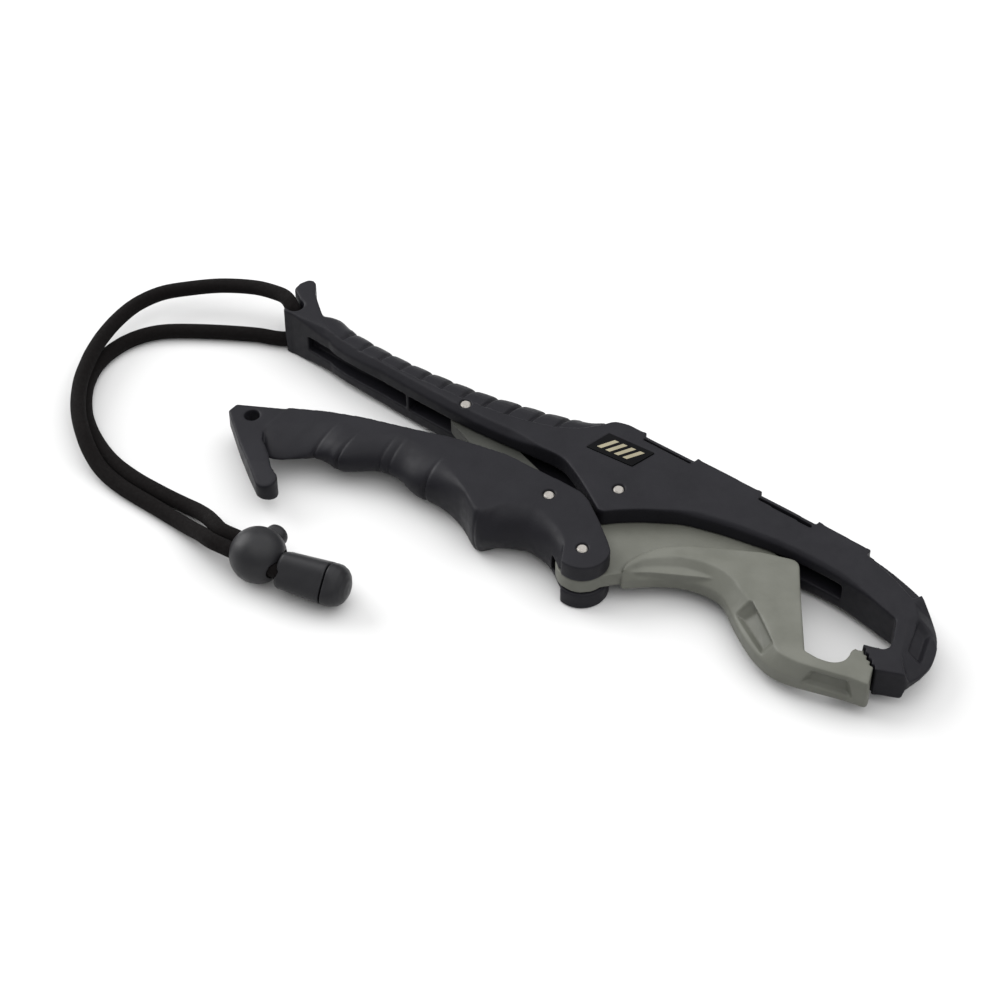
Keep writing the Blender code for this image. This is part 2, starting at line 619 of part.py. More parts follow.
def strand_way(name, along, start, end, grow):
    """A long round-ended passage for the two strands, lying side by side."""
    radius = CORD_R + grow
    ring = []
    for k in range(16):
        a = 2 * math.pi * (k + 0.5) / 16
        shift = STRAND_OUT if math.cos(a) > 0 else -STRAND_OUT
        ring.append((shift + radius * math.cos(a), radius * math.sin(a)))
    return loft(name, [[along(u, v, STRAND_Z + w) for v, w in ring] for u in (start, end)])


def build_lock(mat):
    bm = bmesh.new()
    bmesh.ops.create_uvsphere(bm, u_segments=28, v_segments=18, radius=LOCK_R * MM)
    bmesh.ops.translate(bm, vec=place(*LOCK_CENTRE, STRAND_Z), verts=bm.verts)
    ball = mesh_object("cord_lock_ball", bm)
    bore = [(0, -7.7), (2.6, -7.7), (BUTTON_R + 0.1, -6.5), (BUTTON_R + 0.1, 16), (0, 16)]
    apply_tool(ball, turned("button_bore", bore, across_lock(0), BUTTON_ANGLE), "DIFFERENCE")
    apply_tool(ball, strand_way("lock_cord_way", along_lock, -14, 14, GAP), "DIFFERENCE")
    return finish(ball, mat, (*LOCK_CENTRE, STRAND_Z))


def build_button(mat):
    """The spring-loaded button: a round bar with a window that the strands run through."""
    inner = STRAND_OUT + CORD_R + GAP
    profile = [(0, -inner - 0.8), (2.5, -inner - 0.8), (BUTTON_R, -inner + 0.1), (BUTTON_R, 9.4),
               (BUTTON_R - 0.5, 10.6), (BUTTON_R - 1.6, 11.3), (0, 11.6)]
    button = turned("cord_lock_button", profile, across_lock(0), BUTTON_ANGLE)
    far = inner + BUTTON_TRAVEL
    window = [along_lock(u, v)[:2] for u, v in [(-9, -inner), (9, -inner), (9, far), (-9, far)]]
    height = CORD_R + GAP
    apply_tool(button, plate("button_window", window, STRAND_Z - height, STRAND_Z + height), "DIFFERENCE")
    return finish(button, mat, across_lock(0))


def build_spring(mat):
    """The coil spring between the button's inner end and the bottom of its bore."""
    turns = 2.5
    start = Vector(across_lock(-7.35))
    end = Vector(across_lock(-6.35))
    count = 26
    curve = bpy.data.curves.new("cord_lock_spring", "CURVE")
    curve.dimensions = "3D"
    curve.bevel_depth = 0.15 * MM
    curve.bevel_resolution = 1
    curve.use_fill_caps = True
    spline = curve.splines.new("POLY")
    spline.points.add(count)
    side = Vector((math.cos(LOCK_ANGLE), math.sin(LOCK_ANGLE), 0))
    for k, point in enumerate(spline.points):
        a = 2 * math.pi * turns * k / count
        co = start.lerp(end, k / count) + 1.9 * (side * math.cos(a) + Vector((0, 0, 1)) * math.sin(a))
        point.co = (*place(*co), 1)
    spring = bpy.data.objects.new("cord_lock_spring", curve)
    PARTS.objects.link(spring)
    return finish(curve_to_mesh(spring), mat, tuple(start))


def build_end_fitting(mat):
    """The barrel that hides the cord's two ends, and the cap that closes it."""
    barrel = [(0, 0), (END_R - 1.2, 0), (END_R, 1.2), (END_R, 14.2), (5.6, 14.2), (5.6, 2.4), (0, 2.4)]
    body = turned("cord_end_barrel", barrel, along_end(0, 0), END_ANGLE)
    apply_tool(body, strand_way("barrel_mouth", along_end, -2, 3, 0.5), "DIFFERENCE")
    finish(body, mat, along_end(0, 0))
    plug = [(0, 10.4), (5.3, 10.4), (5.3, 14.5), (END_R, 14.5), (END_R, 17.0), (END_R - 1.0, 19.2),
            (END_R - 3.2, 20.6), (0, 21.0)]
    cap = turned("cord_end_cap", plug, along_end(0, 0), END_ANGLE)
    return body, finish(cap, mat, along_end(14.5, 0))


# ---- the model ----
for old in list(bpy.data.objects):
    bpy.data.objects.remove(old)

PARTS = collection("lip_grip")
CUTTERS = collection("cutters")

BLACK = material("black_plastic", (0.022, 0.022, 0.025), 0.5)
GREY = material("grey_plastic", (0.20, 0.21, 0.18), 0.45)
STEEL = material("pin_steel", (0.62, 0.61, 0.57), 0.3, 1.0)
MARK = material("badge_film", (0.45, 0.45, 0.45), 0.35)
WEAVE = material("cord_weave", (0.012, 0.011, 0.010), 0.85)
LOCK = material("lock_plastic", (0.014, 0.014, 0.015), 0.5)
WIRE = material("spring_steel", (0.55, 0.55, 0.55), 0.3, 1.0)

frame = build_frame(BLACK)
jaw = build_jaw(GREY)
handle = build_handle(BLACK)
link = build_link(GREY)
build_pin("jaw_pivot_pin", JAW_PIVOT, STEEL)
build_pin("jaw_handle_pin", HANDLE_PIVOT, STEEL)
build_pin("handle_link_pin", LINK_HANDLE_PIVOT, STEEL)
build_pin("link_frame_pin", LINK_FRAME_PIVOT, STEEL)
build_badge(MARK)
build_cord(WEAVE)
build_lock(LOCK)
build_button(LOCK)
build_spring(WIRE)
build_end_fitting(LOCK)
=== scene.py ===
"""Looks of a locking lip grip: moulded black and grey plastic, steel pins, a woven lanyard.

The tool lies on its side.  Plan positions are millimetres from the jaw pivot, with +X towards the
jaws and +Y towards the frame's back; heights are from the ground.
"""
import math

import bmesh
import bpy
from mathutils import Matrix, Vector


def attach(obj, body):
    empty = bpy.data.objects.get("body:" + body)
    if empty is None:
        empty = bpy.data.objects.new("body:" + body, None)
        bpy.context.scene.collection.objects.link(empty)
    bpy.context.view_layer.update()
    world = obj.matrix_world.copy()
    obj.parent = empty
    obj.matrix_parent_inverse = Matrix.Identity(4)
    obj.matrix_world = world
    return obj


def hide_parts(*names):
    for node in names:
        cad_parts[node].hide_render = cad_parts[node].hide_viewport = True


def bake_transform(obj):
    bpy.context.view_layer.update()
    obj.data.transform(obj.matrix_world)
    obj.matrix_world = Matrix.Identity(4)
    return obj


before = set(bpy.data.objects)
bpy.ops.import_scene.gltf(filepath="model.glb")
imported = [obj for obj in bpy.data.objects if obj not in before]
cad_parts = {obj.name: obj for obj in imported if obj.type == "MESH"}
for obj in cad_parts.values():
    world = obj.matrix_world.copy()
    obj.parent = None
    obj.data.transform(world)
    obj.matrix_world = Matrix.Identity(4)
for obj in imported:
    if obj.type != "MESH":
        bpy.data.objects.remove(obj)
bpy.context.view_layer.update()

MM = 0.001
DATUM_X = -16.05
DATUM_Y = -17.1
THICK = 17.5
MID = THICK / 2
SLOT_HALF = 2.8
VOXEL = 0.30

PINS = {
    "jaw_pivot_pin": (0.0, 0.0),
    "jaw_handle_pin": (5.7, -26.0),
    "handle_link_pin": (-14.9, -14.3),
    "link_frame_pin": (-58.5, 1.7),
}
PIN_R = 1.6
PIN_GAP = 0.15
RING_DEEP = 0.5
# heights well past both faces, for cuts that go right through
BELOW = -5
ABOVE = 25
TOOTH_START = (88.2, -7.1)
TOOTH_END = (95.1, -12.0)
LOCK_CENTRE = (-72.2, -78.9)
LOCK_ANGLE = math.radians(6)
END_ANGLE = math.radians(15)
STRAND_OUT = 2.5
STRAND_Z = 8.55
END_FIRST = 9.2
END_Z = 7.2
CORD_R = 2.4


# ---------------------------------------------------------------- helpers
def place(x, y, z):
    """World position in metres of a point given in the tool's millimetres."""
    return Vector(((x - DATUM_X) * MM, (y - DATUM_Y) * MM, z * MM))


def smooth_run(points, steps=4):
    """Points along a Catmull-Rom curve through the given points."""
    out = []
    ends = [points[0]] + list(points) + [points[-1]]
    for a, b, c, d in zip(ends, ends[1:], ends[2:], ends[3:]):
        for k in range(steps):
            t = k / steps
            out.append(tuple(
                0.5 * (2 * q + (r - p) * t + (2 * p - 5 * q + 4 * r - s) * t * t
                       + (3 * q - p - 3 * r + s) * t ** 3)
                for p, q, r, s in zip(a, b, c, d)))
    out.append(tuple(points[-1]))
    return out


def rounded(before, corner, after, radius, steps=6):
    """Points of an arc that rounds one corner of an outline."""
    c = Vector(corner)
    u = (Vector(before) - c).normalized()
    v = (Vector(after) - c).normalized()
    half = u.angle(v) / 2
    reach = radius / math.tan(half)
    centre = c + (u + v).normalized() * radius / math.sin(half)
    start = c + u * reach - centre
    turn = start.angle_signed(c + v * reach - centre)
    return [tuple(centre + Matrix.Rotation(-turn * k / steps, 2) @ start) for k in range(steps + 1)]


def value_at(table, x):
    """Straight interpolation in a short table of (x, value)."""
    if x <= table[0][0]:
        return table[0][1]
    for (x0, v0), (x1, v1) in zip(table, table[1:]):
        if x <= x1:
            return v0 + (v1 - v0) * (x - x0) / (x1 - x0)
    return table[-1][1]


def tooth_line(start, end, offset, count=4, depth=0.8):
    a = Vector(start)
    b = Vector(end)
    side = Vector((-(b - a).y, (b - a).x)).normalized()
    points = []
    for k in range(2 * count + 1):
        shift = depth / 2 if k % 2 else -depth / 2
        points.append(tuple(a.lerp(b, k / (2 * count)) + side * (shift + offset)))
    return points


def link_object(name, mesh):
    obj = bpy.data.objects.new(name, mesh)
    bpy.context.scene.collection.objects.link(obj)
    return obj


def mesh_object(name, bm):
    mesh = bpy.data.meshes.new(name)
    bmesh.ops.recalc_face_normals(bm, faces=bm.faces)
    bm.to_mesh(mesh)
    bm.free()
    return link_object(name, mesh)


def bake(obj):
    """Apply all of an object's modifiers."""
    bpy.context.view_layer.update()
    mesh = bpy.data.meshes.new_from_object(obj.evaluated_get(bpy.context.evaluated_depsgraph_get()))
    mesh.transform(obj.matrix_world)
    obj.modifiers.clear()
    obj.data = mesh
    obj.matrix_world = Matrix.Identity(4)
    return obj


def plate(name, outline, low, high):
    """An outline in plan, extruded between two heights in millimetres."""
    bm = bmesh.new()
    lower = [bm.verts.new(place(x, y, low)) for x, y in outline]
    upper = [bm.verts.new(place(x, y, high)) for x, y in outline]
    bm.faces.new(lower)
    bm.faces.new(upper)
    for k in range(len(outline)):
        n = (k + 1) % len(outline)
        bm.faces.new((lower[k], lower[n], upper[n], upper[k]))
    return mesh_object(name, bm)


def side_block(name, halves, low_y, high_y):
    """A block whose half thickness about the middle plane follows a table of (x, half)."""
    ring = [(x, MID + half) for x, half in halves] + [(x, MID - half) for x, half in reversed(halves)]
    bm = bmesh.new()
    near = [bm.verts.new(place(x, low_y, z)) for x, z in ring]
    far = [bm.verts.new(place(x, high_y, z)) for x, z in ring]
    bm.faces.new(near)
    bm.faces.new(far)
    for k in range(len(ring)):
        n = (k + 1) % len(ring)
        bm.faces.new((near[k], near[n], far[n], far[k]))
    return mesh_object(name, bm)


def loft(name, rings):
    bm = bmesh.new()
    rows = [[bm.verts.new(place(*co)) for co in ring] for ring in rings]
    for row, following in zip(rows, rows[1:]):
        for k in range(len(row)):
            n = (k + 1) % len(row)
            bm.faces.new((row[k], row[n], following[n], following[k]))
    bm.faces.new(rows[0])
    bm.faces.new(rows[-1])
    return mesh_object(name, bm)


def cylinder(name, radius, centre, low, high, sides=48):
    bm = bmesh.new()
    bmesh.ops.create_cone(bm, cap_ends=True, segments=sides, radius1=radius * MM, radius2=radius * MM,
                          depth=(high - low) * MM)
    bmesh.ops.translate(bm, vec=place(*centre, (low + high) / 2), verts=bm.verts)
    return mesh_object(name, bm)


def combine(obj, tool, operation):
    """Cut, join or intersect obj with a tool, and throw the tool away."""
    mod = obj.modifiers.new("Boolean", "BOOLEAN")
    mod.operation = operation
    mod.solver = "EXACT"
    mod.object = tool
    bake(obj)
    bpy.data.objects.remove(tool)
    return obj


def bore_for_pin(obj, centre, ringed=False):
    """Drill a pin's hole right through, with a shallow ring sunk round it in each face if asked."""
    combine(obj, cylinder("pin_hole", PIN_R + PIN_GAP, centre, BELOW, ABOVE), "DIFFERENCE")
    if ringed:
        for low, high in [(THICK - RING_DEEP, ABOVE), (BELOW, RING_DEEP)]:
            combine(obj, cylinder("pin_ring", PIN_R + 0.5, centre, low, high), "DIFFERENCE")


def soften(obj, passes, weight=None, voxel=VOXEL):
    """Remesh a piece finely and round its edges; weight(x, y, z) says how much, from 0 to 1."""
    remesh = obj.modifiers.new("Remesh", "REMESH")
    remesh.mode = "VOXEL"
    remesh.voxel_size = voxel * MM
    bake(obj)
    group = obj.vertex_groups.new(name="soft")
    levels = {}
    for v in obj.data.vertices:
        w = 1.0
        if weight:
            w = weight(v.co.x / MM + DATUM_X, v.co.y / MM + DATUM_Y, v.co.z / MM)
        levels.setdefault(round(w, 2), []).append(v.index)
    for w, indices in levels.items():
        group.add(indices, w, "REPLACE")
    smooth = obj.modifiers.new("Smooth", "SMOOTH")
    smooth.factor = 0.5
    smooth.iterations = passes
    smooth.vertex_group = "soft"
    bake(obj)
    obj.vertex_groups.clear()
    obj.data.shade_smooth()
    return obj


def near_any(x, y, circles):
    return any((x - cx) ** 2 + (y - cy) ** 2 < r * r for cx, cy, r in circles)


def dress(obj, mat, body, slot, *nodes):
    """Give a piece its material, its body and the CAD nodes it stands for; the slot argument is not used."""
    obj.data.materials.clear()
    obj.data.materials.append(mat)
    if body:
        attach(obj, body)
    if nodes:
        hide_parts(*nodes)
    return obj


def section(x, flat_y, edge_y, end_y, half, power=2.0, steps=20):
    """A D-shaped section at one x: flat-sided to edge_y, then a rounded bulge that ends at end_y."""
    ring = [(x, flat_y, MID + half), (x, flat_y, MID - half)]
    for k in range(steps + 1):
        angle = math.pi * (k / steps - 0.5)
        c = abs(math.cos(angle)) ** (2 / power)
        s = math.copysign(abs(math.sin(angle)) ** (2 / power), math.sin(angle))
        ring.append((x, edge_y + (end_y - edge_y) * c, MID + half * s))
    return ring


# ---------------------------------------------------------------- materials
def nodes_of(name):
    mat = bpy.data.materials.new(name)
    mat.use_nodes = True
    tree = mat.node_tree
    return mat, tree, tree.nodes["Principled BSDF"]


def noise(tree, scale, detail=3.0, roughness=0.5):
    coords = tree.nodes.new("ShaderNodeTexCoord")
    tex = tree.nodes.new("ShaderNodeTexNoise")
    tex.inputs["Scale"].default_value = scale
    tex.inputs["Detail"].default_value = detail
    tex.inputs["Roughness"].default_value = roughness
    tree.links.new(coords.outputs["Object"], tex.inputs["Vector"])
    return tex.outputs["Fac"]


def ramp(tree, value, low, high, first=0.3, last=0.7):
    node = tree.nodes.new("ShaderNodeMapRange")
    node.inputs["From Min"].default_value = first
    node.inputs["From Max"].default_value = last
    node.inputs["To Min"].default_value = low
    node.inputs["To Max"].default_value = high
    tree.links.new(value, node.inputs["Value"])
    return node.outputs["Result"]


def blend_colour(tree, value, dark, light):
    node = tree.nodes.new("ShaderNodeMix")
    node.data_type = "RGBA"
    node.inputs[6].default_value = (*dark, 1)
    node.inputs[7].default_value = (*light, 1)
    tree.links.new(value, node.inputs[0])
    return node.outputs[2]


def bump(tree, shader, height, distance, strength=1.0):
    node = tree.nodes.new("ShaderNodeBump")
    node.inputs["Strength"].default_value = strength
    node.inputs["Distance"].default_value = distance
    tree.links.new(height, node.inputs["Height"])
    tree.links.new(node.outputs["Normal"], shader.inputs["Normal"])


def plastic(name, dark, light, rough_low, rough_high, grain=0.00003, specular=0.5):
    """Moulded plastic with a fine spark-eroded texture and faint flow mottling."""
    mat, tree, shader = nodes_of(name)
    mottle = ramp(tree, noise(tree, 90, 4), 0, 1)
    tree.links.new(blend_colour(tree, mottle, dark, light), shader.inputs["Base Color"])
    tree.links.new(ramp(tree, noise(tree, 400, 2), rough_low, rough_high), shader.inputs["Roughness"])
    shader.inputs["Specular IOR Level"].default_value = specular
    bump(tree, shader, noise(tree, 2600, 2), grain)
    return mat


def steel(name, colour, roughness):
    mat, tree, shader = nodes_of(name)
    fine = ramp(tree, noise(tree, 1500, 3), 0, 1)
    light = tuple(min(1, c * 1.12) for c in colour)
    tree.links.new(blend_colour(tree, fine, colour, light), shader.inputs["Base Color"])
    shader.inputs["Metallic"].default_value = 1.0
    tree.links.new(ramp(tree, noise(tree, 2500, 2), roughness, roughness + 0.2), shader.inputs["Roughness"])
    bump(tree, shader, noise(tree, 3000, 2), 0.00002)
    return mat


def woven(name):
    """Braided nylon: crossing diagonal bands on the tube's own length and angle coordinates."""
    mat, tree, shader = nodes_of(name)
    uv = tree.nodes.new("ShaderNodeUVMap")
    uv.uv_map = "braid"
    waves = []
    for slant in (1, -1):
        split = tree.nodes.new("ShaderNodeVectorRotate")
        split.rotation_type = "Z_AXIS"
        split.inputs["Angle"].default_value = math.radians(45 * slant)
        tree.links.new(uv.outputs["UV"], split.inputs["Vector"])
        wave = tree.nodes.new("ShaderNodeTexWave")
        wave.wave_type = "BANDS"
        wave.bands_direction = "X"
        wave.inputs["Scale"].default_value = 2.2
        wave.inputs["Distortion"].default_value = 0.4
        wave.inputs["Detail"].default_value = 1.0
        tree.links.new(split.outputs["Vector"], wave.inputs["Vector"])
        waves.append(wave.outputs["Fac"])
    cross = tree.nodes.new("ShaderNodeMath")
    cross.operation = "MAXIMUM"
    tree.links.new(waves[0], cross.inputs[0])
    tree.links.new(waves[1], cross.inputs[1])
    tree.links.new(blend_colour(tree, cross.outputs[0], (0.0012, 0.0010, 0.0010), (0.0068, 0.0058, 0.0058)),
                   shader.inputs["Base Color"])
    tree.links.new(ramp(tree, noise(tree, 900, 2), 0.7, 0.95), shader.inputs["Roughness"])
    shader.inputs["Sheen Weight"].default_value = 0.01
    shader.inputs["Specular IOR Level"].default_value = 0.05
    bump(tree, shader, cross.outputs[0], 0.00012, 0.8)
    return mat


BLACK = plastic("black_moulded", (0.0085, 0.0083, 0.0105), (0.0112, 0.011, 0.0136), 0.4, 0.54,
                specular=0.11)
GREY = plastic("grey_moulded", (0.086, 0.088, 0.074), (0.112, 0.114, 0.098), 0.42, 0.55,
               grain=0.00002, specular=0.25)
LOCK = plastic("lock_moulded", (0.011, 0.011, 0.0125), (0.014, 0.014, 0.0155), 0.36, 0.48,
               grain=0.00002, specular=0.2)
# the link's grey plastic, darkened as painted shade for where it lies, in the gap under the frame beside the
# handle
LINK_GREY_PAINTED_SHADE = plastic("link_grey_painted_shade", (0.034, 0.035, 0.031), (0.044, 0.045, 0.040), 0.45, 0.58,
               grain=0.00002, specular=0.2)
STEEL = steel("pin_metal", (0.30, 0.285, 0.265), 0.4)
WEAVE = woven("lanyard_weave")


# ---------------------------------------------------------------- camera, floor and light
def build_stage():
    cam_data = bpy.data.cameras.new("camera")
    cam_data.lens = 85
    cam_data.sensor_width = 36
    camera = bpy.data.objects.new("camera", cam_data)
    bpy.context.scene.collection.objects.link(camera)
    camera.location = place(CAMERA_AT[0], CAMERA_AT[1], CAMERA_AT[2])
    aim = place(LOOK_AT[0], LOOK_AT[1], 0)
    camera.rotation_euler = (aim - camera.location).to_track_quat("-Z", "Y").to_euler()
    bpy.context.scene.camera = camera

    bm = bmesh.new()
    bmesh.ops.create_grid(bm, x_segments=1, y_segments=1, size=6.0)
    floor = mesh_object("floor", bm)
    mat, _, shader = nodes_of("paper")
    shader.inputs["Base Color"].default_value = (0.6, 0.6, 0.6, 1)
    shader.inputs["Roughness"].default_value = 0.9
    shader.inputs["Specular IOR Level"].default_value = 0.0
    floor.data.materials.append(mat)

    world = bpy.data.worlds.new("studio")
    world.use_nodes = True
    world.node_tree.nodes["Background"].inputs["Color"].default_value = (1, 1, 1, 1)
    world.node_tree.nodes["Background"].inputs["Strength"].default_value = WORLD_LIGHT
    bpy.context.scene.world = world
    for name, where, spread, strength in LIGHTS:
        light = bpy.data.lights.new(name, "SUN")
        light.angle = math.radians(spread)
        light.energy = strength
        lamp = bpy.data.objects.new(name, light)
        bpy.context.scene.collection.objects.link(lamp)
        x, y, z = where
        lamp.location = Vector((0.793, -0.609, 0)) * x + Vector((0.609, 0.793, 0)) * y + Vector((0, 0, z))
        lamp.rotation_euler = (-lamp.location).to_track_quat("-Z", "Y").to_euler()
    bpy.context.scene.view_settings.view_transform = "Standard"


CAMERA_AT = (272.7, -412.7, 505.9)
LOOK_AT = (-35.3, -11.3)
WORLD_LIGHT = 0.5
# name, direction it comes from (screen right, away from the camera, up), angle it fills, strength
LIGHTS = [
    ("top", (0.1, 0.35, 1.2), 100, 3.2),
    ("left", (-0.85, -0.75, 0.6), 50, 2.9),
]
build_stage()


# ---------------------------------------------------------------- lanyard
def along_lock(u, v, z=STRAND_Z):
    c = math.cos(LOCK_ANGLE)
    s = math.sin(LOCK_ANGLE)
    return (LOCK_CENTRE[0] + u * c - v * s, LOCK_CENTRE[1] + u * s + v * c, z)


def along_end(u, v, z=END_Z):
    x, y, _ = along_lock(END_FIRST, 0)
    c = math.cos(END_ANGLE)
    s = math.sin(END_ANGLE)
    return (x + u * c - v * s, y + u * s + v * c, z)


def cord_route():
    """The looped cord's route, from one end in the fitting round to the other."""
    outer = [along_end(u, -STRAND_OUT, STRAND_Z) for u in (9.0, 5.5, 2.0)]
    outer += [along_lock(u, -STRAND_OUT) for u in (6, 0, -5, -10, -15)]
    outer += [(-92.4, -81.6, 6.9), (-98.5, -80.2, 4.5), (-105.5, -79.2, 3.0), (-114.5, -78.8, 2.5),
              (-127.5, -78.7, 2.5), (-137.0, -77.7, 3.4), (-144.5, -75.2, 5.4), (-150.6, -71.8, 7.2),
              (-156.6, -67.4, 7.6), (-162.2, -62.0, 7.6), (-167.4, -55.6, 7.6), (-171.0, -49.6, 7.6),
              (-174.2, -43.2, 7.6), (-177.0, -35.4, 7.6), (-178.9, -26.6, 7.6), (-179.3, -17.6, 7.5),
              (-176.8, -8.8, 7.5), (-170.8, -1.8, 8.0), (-161.9, 4.4, 9.6), (-150.5, 8.3, 12.0),
              (-141.0, 8.8, 14.0), (-136.5, 8.0, 14.8)]
    bight = [(-133.0, 6.2, 14.8), (-130.9, 5.2, 13.2), (-130.3, 5.0, 10.9), (-130.3, 5.0, 8.75),
             (-130.3, 5.0, 6.6), (-130.9, 4.7, 4.3), (-133.0, 3.4, 2.7)]
    inner = [(-136.5, 1.4, 2.5), (-142.3, -1.1, 2.5), (-152.1, -7.0, 2.5), (-161.3, -13.3, 2.5),
             (-167.4, -18.4, 2.5), (-171.2, -23.6, 2.5), (-173.4, -29.4, 2.5), (-174.1, -35.2, 2.5),
             (-173.6, -41.0, 2.5), (-172.0, -46.4, 2.5), (-168.6, -52.6, 2.5), (-163.8, -58.4, 2.5),
             (-157.2, -64.0, 2.5), (-147.6, -69.2, 2.5), (-138.0, -72.4, 2.5), (-127.5, -73.6, 2.5),
             (-117.0, -73.4, 2.5), (-109.0, -72.9, 2.6), (-102.6, -73.0, 3.6), (-97.0, -74.2, 5.3),
             (-91.8, -76.4, 7.4)]
    inner += [along_lock(u, STRAND_OUT) for u in (-15, -10, -5, 0, 6)]
    inner += [along_end(u, STRAND_OUT, STRAND_Z) for u in (2.0, 5.5, 9.0)]
    return outer + bight + inner


def build_cord():
    """A tube with braid coordinates: U round it and V along it, both in cord diameters."""
    dense = [Vector(p) for p in smooth_run(cord_route(), 12)]
    path = [dense[0]]
    for p in dense[1:]:
        if (p - path[-1]).length >= 0.9:
            path.append(p)
    sides = 24
    bm = bmesh.new()
    uv = bm.loops.layers.uv.new("braid")
    rows = []
    reach = []
    length = 0.0
    normal = Vector((0, 0, 1))
    for k, p in enumerate(path):
        tangent = (path[min(k + 1, len(path) - 1)] - path[max(k - 1, 0)]).normalized()
        normal = (normal - tangent * normal.dot(tangent)).normalized()
        side = tangent.cross(normal)
        if k:
            length += (p - path[k - 1]).length
        reach.append(length)
        ring = []
        for j in range(sides):
            a = 2 * math.pi * j / sides
            ring.append(bm.verts.new(place(*(p + (normal * math.cos(a) + side * math.sin(a)) * CORD_R))))
        rows.append(ring)
    for k in range(len(rows) - 1):
        for j in range(sides):
            n = (j + 1) % sides
            face = bm.faces.new((rows[k][j], rows[k][n], rows[k + 1][n], rows[k + 1][j]))
            around = [j, j + 1, j + 1, j]
            for loop, turn, row in zip(face.loops, around, (k, k, k + 1, k + 1)):
                loop[uv].uv = (turn / sides * math.pi * 2, reach[row] / CORD_R)
    for ring in (rows[0], rows[-1]):
        bm.faces.new(ring)
    cord = mesh_object("lanyard", bm)
    cord.data.shade_smooth()
    cord.data.materials.append(WEAVE)
    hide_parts("lanyard_cord")
    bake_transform(cord)
    metres = [place(*p) for p in path]
    return cord, metres, length * MM


cord, cord_path, cord_length = build_cord()


def turned(name, profile, start, direction, steps=48):
    """A profile of (radius, distance) turned about a horizontal axis in plan."""
    axis = Vector((math.cos(direction), math.sin(direction), 0))
    up = Vector((0, 0, 1))
    side = axis.cross(up)
    rings = []
    for r, d in profile:
        base = Vector(start) + axis * d
        rings.append([tuple(base + (up * math.cos(2 * math.pi * k / steps)
                                    + side * math.sin(2 * math.pi * k / steps)) * max(r, 0.02))
                      for k in range(steps)])
    return loft(name, rings)


def strand_way(name, along, start, end, grow):
    radius = CORD_R + grow
    ring = []
    for k in range(32):
        a = 2 * math.pi * (k + 0.5) / 32
        shift = STRAND_OUT if math.cos(a) > 0 else -STRAND_OUT
        ring.append((shift + radius * math.cos(a), radius * math.sin(a)))
    return loft(name, [[along(u, v, STRAND_Z + w) for v, w in ring] for u in (start, end)])


def build_lock():
    bm = bmesh.new()
    bmesh.ops.create_uvsphere(bm, u_segments=64, v_segments=40, radius=8.5 * MM)
    bmesh.ops.translate(bm, vec=place(*LOCK_CENTRE, STRAND_Z), verts=bm.verts)
    ball = mesh_object("lock_ball", bm)
    bore = [(0, -7.7), (2.9, -7.6), (3.8, -6.8), (3.8, 16), (0, 16)]
    combine(ball, turned("bore", bore, along_lock(0, 0), LOCK_ANGLE + math.pi / 2), "DIFFERENCE")
    combine(ball, strand_way("way", along_lock, -14, 14, 0.25), "DIFFERENCE")
    soften(ball, 4, voxel=0.22)
    dress(ball, LOCK, "cord_lock", "lock_plastic", "cord_lock_ball")
    profile = [(0, -5.9), (2.2, -5.9), (3.5, -5.2), (3.5, 8.2), (3.5, 9.6),
               (3.2, 10.5), (2.5, 11.2), (1.4, 11.5), (0, 11.6)]
    button = turned("lock_button", profile, along_lock(0, 0), LOCK_ANGLE + math.pi / 2)
    window = [along_lock(u, v)[:2] for u, v in [(-9, -5.2), (9, -5.2), (9, 6.6), (-9, 6.6)]]
    combine(button, plate("window", window, STRAND_Z - 2.7, STRAND_Z + 2.7), "DIFFERENCE")
    soften(button, 3, voxel=0.2)
    dress(button, LOCK, "lock_button", "lock_plastic", "cord_lock_button")
    return ball, button


def faceted(name, stations):
    """A flat-sided body along the end fitting; stations are (distance, half width, squareness)."""
    rings = []
    for d, half, power in stations:
        ring = []
        for k in range(64):
            a = 2 * math.pi * k / 64
            b = a - math.pi / 4
            r = half / (abs(math.cos(b)) ** power + abs(math.sin(b)) ** power) ** (1 / power)
            x, y, _ = along_end(d, r * math.cos(a))
            ring.append((x, y, max(END_Z + 0.1 + r * math.sin(a), 0.1)))
        rings.append(ring)
    return loft(name, rings)


def build_end():
    """The flat-sided, tapered end fitting with its cap, parted by a dark seam."""
    body = faceted("end_barrel", [(-0.8, 5.0, 2.6), (-0.4, 5.4, 3.2), (0.4, 5.6, 3.6), (13.9, 6.35, 3.6),
                                  (14.1, 6.2, 3.6)])
    combine(body, faceted("hollow", [(2.6, 4.4, 2.0), (20, 4.4, 2.0)]), "DIFFERENCE")
    combine(body, strand_way("mouth", along_end, -3, 3, 0.45), "DIFFERENCE")
    soften(body, 5, voxel=0.22)
    dress(body, LOCK, "cord_end", "lock_plastic", "cord_end_barrel")
    cap = faceted("end_cap", [(10.4, 4.2, 2.0), (14.5, 4.2, 2.0), (14.55, 6.2, 3.6), (14.8, 6.4, 3.4),
                              (16.4, 6.35, 3.0), (18.2, 5.7, 2.6), (19.5, 4.6, 2.2), (20.4, 3.0, 2.0), (20.8, 1.2, 2.0)])
    soften(cap, 5, voxel=0.22)
    dress(cap, LOCK, "cord_end", "lock_plastic", "cord_end_cap")
    return body, cap


lock_ball, lock_button = build_lock()
end_barrel, end_cap = build_end()


# ---------------------------------------------------------------- frame
FRAME_HALVES = [(-145, MID), (20, MID), (35, 8.5), (50, 8.0), (65, 7.4), (78, 6.7), (88, 5.9),
                (96, 5.4), (112, 5.25)]


